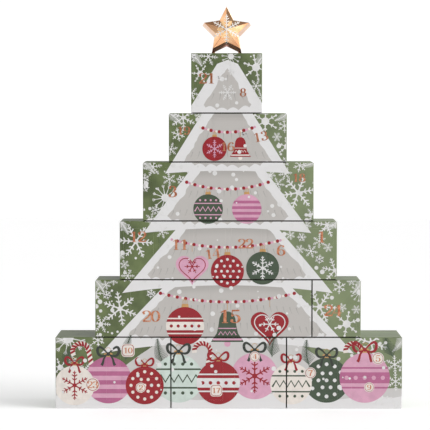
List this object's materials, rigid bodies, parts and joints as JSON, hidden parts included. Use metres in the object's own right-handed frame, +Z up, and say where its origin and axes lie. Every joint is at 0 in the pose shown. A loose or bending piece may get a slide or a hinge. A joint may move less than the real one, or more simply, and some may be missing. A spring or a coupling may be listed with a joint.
{
  "type": "candle advent calendar",
  "caption": "Stepped tower of stacked printed cartons with numbered hinged doors, a candle standing behind every door and a leaning foil star on top.",
  "frame": {"origin": "on the floor, under the middle of the whole tower's box", "axes": "+Z up, -Y out of the printed front with the doors, +X to the right as seen from the front"},
  "size_m": [0.4, 0.076, 0.4639],
  "materials": {
    "printed_card": "satin print on white-lined card",
    "tea_light_tin": "bright rolled tin with white wax",
    "votive_glass": "clear glass filled with cream wax",
    "copper_foil": "mirror copper metallised",
    "white_wax": "poured wax with a soft sheen",
    "wick_cotton": "waxed cotton braid"
  },
  "bodies": {
    "tower": {"row_1_left_carton": "printed_card", "row_1_middle_carton": "printed_card", "row_1_right_carton": "printed_card", "row_2_wide_carton": "printed_card", "row_2_narrow_carton": "printed_card", "row_3_carton": "printed_card", "row_4_carton": "printed_card", "row_5_carton": "printed_card", "row_6_carton": "printed_card", "candle_1": "tea_light_tin", "candle_2": "tea_light_tin", "candle_3": "votive_glass", "candle_4": "votive_glass", "candle_5": "tea_light_tin", "candle_6": "tea_light_tin", "candle_7": "votive_glass", "candle_8": "tea_light_tin", "candle_9": "tea_light_tin", "candle_10": "tea_light_tin", "candle_11": "tea_light_tin", "candle_12": "tea_light_tin", "candle_13": "tea_light_tin", "candle_14": "tea_light_tin", "candle_15": "votive_glass", "candle_16": "tea_light_tin", "candle_17": "votive_glass", "candle_18": "votive_glass", "candle_19": "tea_light_tin", "candle_20": "votive_glass", "candle_21": "tea_light_tin", "candle_22": "tea_light_tin", "candle_23": "votive_glass", "candle_24": "votive_glass"},
    "door_1": {"door_1": "printed_card"},
    "door_2": {"door_2": "printed_card"},
    "door_3": {"door_3": "printed_card"},
    "door_4": {"door_4": "printed_card"},
    "door_5": {"door_5": "printed_card"},
    "door_6": {"door_6": "printed_card"},
    "door_7": {"door_7": "printed_card"},
    "door_8": {"door_8": "printed_card"},
    "door_9": {"door_9": "printed_card"},
    "door_10": {"door_10": "printed_card"},
    "door_11": {"door_11": "printed_card"},
    "door_12": {"door_12": "printed_card"},
    "door_13": {"door_13": "printed_card"},
    "door_14": {"door_14": "printed_card"},
    "door_15": {"door_15": "printed_card"},
    "door_16": {"door_16": "printed_card"},
    "door_17": {"door_17": "printed_card"},
    "door_18": {"door_18": "printed_card"},
    "door_19": {"door_19": "printed_card"},
    "door_20": {"door_20": "printed_card"},
    "door_21": {"door_21": "printed_card"},
    "door_22": {"door_22": "printed_card"},
    "door_23": {"door_23": "printed_card"},
    "door_24": {"door_24": "printed_card"},
    "star": {"star_front": "copper_foil", "star_back": "copper_foil"}
  },
  "joints": [
    {"name": "door_1_hinge", "type": "hinge", "parent": "tower", "child": "door_1", "pos_m": [0.08604, -0.038, 0.18335], "axis": [0, 0, -1], "range_deg": [0, 160]},
    {"name": "door_2_hinge", "type": "hinge", "parent": "tower", "child": "door_2", "pos_m": [-0.12468, -0.038, 0.02107], "axis": [0, 0, -1], "range_deg": [0, 160]},
    {"name": "door_3_hinge", "type": "hinge", "parent": "tower", "child": "door_3", "pos_m": [-0.0897, -0.038, 0.25115], "axis": [0, 0, -1], "range_deg": [0, 160]},
    {"name": "door_4_hinge", "type": "hinge", "parent": "tower", "child": "door_4", "pos_m": [0.00691, -0.038, 0.0414], "axis": [0, 0, -1], "range_deg": [0, 160]},
    {"name": "door_5_hinge", "type": "hinge", "parent": "tower", "child": "door_5", "pos_m": [0.14218, -0.038, 0.06172], "axis": [0, 0, -1], "range_deg": [0, 160]},
    {"name": "door_6_hinge", "type": "hinge", "parent": "tower", "child": "door_6", "pos_m": [0.04462, -0.038, 0.18335], "axis": [0, 0, -1], "range_deg": [0, 160]},
    {"name": "door_7_hinge", "type": "hinge", "parent": "tower", "child": "door_7", "pos_m": [0.07337, -0.038, 0.0414], "axis": [0, 0, -1], "range_deg": [0, 160]},
    {"name": "door_8_hinge", "type": "hinge", "parent": "tower", "child": "door_8", "pos_m": [0.00148, -0.038, 0.3755], "axis": [0, 0, -1], "range_deg": [0, 160]},
    {"name": "door_9_hinge", "type": "hinge", "parent": "tower", "child": "door_9", "pos_m": [0.14218, -0.038, 0.02107], "axis": [0, 0, -1], "range_deg": [0, 160]},
    {"name": "door_10_hinge", "type": "hinge", "parent": "tower", "child": "door_10", "pos_m": [-0.12468, -0.038, 0.06172], "axis": [0, 0, -1], "range_deg": [0, 160]},
    {"name": "door_11_hinge", "type": "hinge", "parent": "tower", "child": "door_11", "pos_m": [-0.07963, -0.038, 0.18335], "axis": [0, 0, -1], "range_deg": [0, 160]},
    {"name": "door_12_hinge", "type": "hinge", "parent": "tower", "child": "door_12", "pos_m": [-0.12104, -0.038, 0.18335], "axis": [0, 0, -1], "range_deg": [0, 160]},
    {"name": "door_13_hinge", "type": "hinge", "parent": "tower", "child": "door_13", "pos_m": [0.02553, -0.038, 0.3131], "axis": [0, 0, -1], "range_deg": [0, 160]},
    {"name": "door_14_hinge", "type": "hinge", "parent": "tower", "child": "door_14", "pos_m": [-0.03821, -0.038, 0.18335], "axis": [0, 0, -1], "range_deg": [0, 160]},
    {"name": "door_15_hinge", "type": "hinge", "parent": "tower", "child": "door_15", "pos_m": [-0.0219, -0.038, 0.1162], "axis": [0, 0, -1], "range_deg": [0, 160]},
    {"name": "door_16_hinge", "type": "hinge", "parent": "tower", "child": "door_16", "pos_m": [-0.0191, -0.038, 0.3131], "axis": [0, 0, -1], "range_deg": [0, 160]},
    {"name": "door_17_hinge", "type": "hinge", "parent": "tower", "child": "door_17", "pos_m": [-0.05891, -0.038, 0.0414], "axis": [0, 0, -1], "range_deg": [0, 160]},
    {"name": "door_18_hinge", "type": "hinge", "parent": "tower", "child": "door_18", "pos_m": [0.0425, -0.038, 0.25115], "axis": [0, 0, -1], "range_deg": [0, 160]},
    {"name": "door_19_hinge", "type": "hinge", "parent": "tower", "child": "door_19", "pos_m": [-0.06373, -0.038, 0.3131], "axis": [0, 0, -1], "range_deg": [0, 160]},
    {"name": "door_20_hinge", "type": "hinge", "parent": "tower", "child": "door_20", "pos_m": [-0.1129, -0.038, 0.1162], "axis": [0, 0, -1], "range_deg": [0, 160]},
    {"name": "door_21_hinge", "type": "hinge", "parent": "tower", "child": "door_21", "pos_m": [-0.03848, -0.038, 0.3755], "axis": [0, 0, -1], "range_deg": [0, 160]},
    {"name": "door_22_hinge", "type": "hinge", "parent": "tower", "child": "door_22", "pos_m": [0.00321, -0.038, 0.18335], "axis": [0, 0, -1], "range_deg": [0, 160]},
    {"name": "door_23_hinge", "type": "hinge", "parent": "tower", "child": "door_23", "pos_m": [-0.1935, -0.038, 0.0414], "axis": [0, 0, -1], "range_deg": [0, 160]},
    {"name": "door_24_hinge", "type": "hinge", "parent": "tower", "child": "door_24", "pos_m": [0.1011, -0.038, 0.1162], "axis": [0, 0, -1], "range_deg": [0, 160]},
    {"name": "star_lift", "type": "slide", "parent": "tower", "child": "star", "axis": [0, 0, 1], "range_m": [0, 0.015]}
  ]
}
